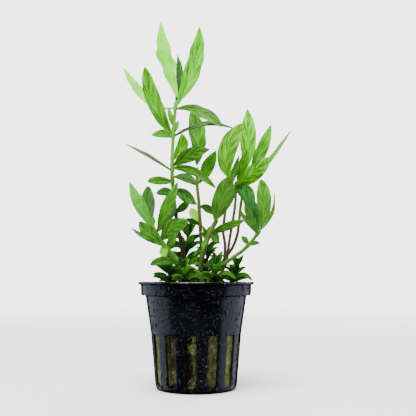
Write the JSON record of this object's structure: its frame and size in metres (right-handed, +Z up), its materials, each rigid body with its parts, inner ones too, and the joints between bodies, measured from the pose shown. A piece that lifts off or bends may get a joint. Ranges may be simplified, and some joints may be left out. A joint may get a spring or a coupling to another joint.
{
  "type": "potted dwarf hygrophila",
  "caption": "Small aquarium plant with lance-shaped leaves on upright stems, rooted in rock wool in a slotted round net pot.",
  "frame": {"origin": "centre of the pot's foot, on the surface that it stands on", "axes": "+Z up; the plant's front, as pictured, faces -Y, and +X is to the right of that view"},
  "size_m": [0.0846, 0.0554, 0.1803],
  "materials": {
    "black_plastic": "satin",
    "rock_wool": "matte",
    "young_leaf": "satin",
    "grown_leaf": "satin",
    "old_leaf": "satin",
    "green_stem": "satin",
    "brown_stem": "satin"
  },
  "bodies": {
    "root": {"centre_leaf_low_left": "young_leaf", "centre_leaf_low_right": "old_leaf", "centre_leaf_top": "grown_leaf", "centre_leaf_upper_right": "old_leaf", "centre_stem": "brown_stem", "front_leaf_down": "old_leaf", "front_leaf_right": "grown_leaf", "front_leaf_top": "grown_leaf", "front_stem": "green_stem", "left_shoot": "green_stem", "left_shoot_leaf_back_left": "young_leaf", "left_shoot_leaf_back_right": "grown_leaf", "left_shoot_leaf_broad_right": "grown_leaf", "left_shoot_leaf_centre": "old_leaf", "left_shoot_leaf_far_left": "young_leaf", "left_shoot_leaf_long_right": "young_leaf", "left_shoot_leaf_low_left": "grown_leaf", "left_shoot_leaf_pale_left": "young_leaf", "left_shoot_leaf_second_left": "grown_leaf", "net_pot": "black_plastic", "right_back_stem": "brown_stem", "right_front_stem": "brown_stem", "right_leaf_curved": "young_leaf", "right_leaf_down": "old_leaf", "right_leaf_far": "grown_leaf", "right_leaf_inner": "old_leaf", "right_leaf_low_broad": "young_leaf", "right_leaf_slanted": "young_leaf", "right_leaf_tall": "young_leaf", "right_middle_stem": "brown_stem", "right_shoot": "green_stem", "right_shoot_leaf_left": "grown_leaf", "right_shoot_leaf_outer": "grown_leaf", "right_shoot_leaf_strap": "old_leaf", "right_shoot_leaf_thin": "old_leaf", "right_shoot_leaf_up": "young_leaf", "rock_wool": "rock_wool", "sprig_back_left": "old_leaf", "sprig_centre": "old_leaf", "sprig_front": "old_leaf", "sprig_front_right": "old_leaf", "sprig_left": "grown_leaf", "sprig_right": "grown_leaf", "tall_leaf_fifth_left": "grown_leaf", "tall_leaf_fifth_right": "grown_leaf", "tall_leaf_fourth_inner": "young_leaf", "tall_leaf_fourth_left": "grown_leaf", "tall_leaf_fourth_right": "old_leaf", "tall_leaf_fourth_strap": "grown_leaf", "tall_leaf_second_far_left": "young_leaf", "tall_leaf_second_right": "grown_leaf", "tall_leaf_sixth_left": "old_leaf", "tall_leaf_sixth_right": "old_leaf", "tall_leaf_third_back": "young_leaf", "tall_leaf_third_left": "young_leaf", "tall_leaf_third_right": "old_leaf", "tall_leaf_top_back": "old_leaf", "tall_leaf_top_left": "young_leaf", "tall_leaf_top_right": "young_leaf", "tall_stem": "green_stem"}
  },
  "joints": []
}
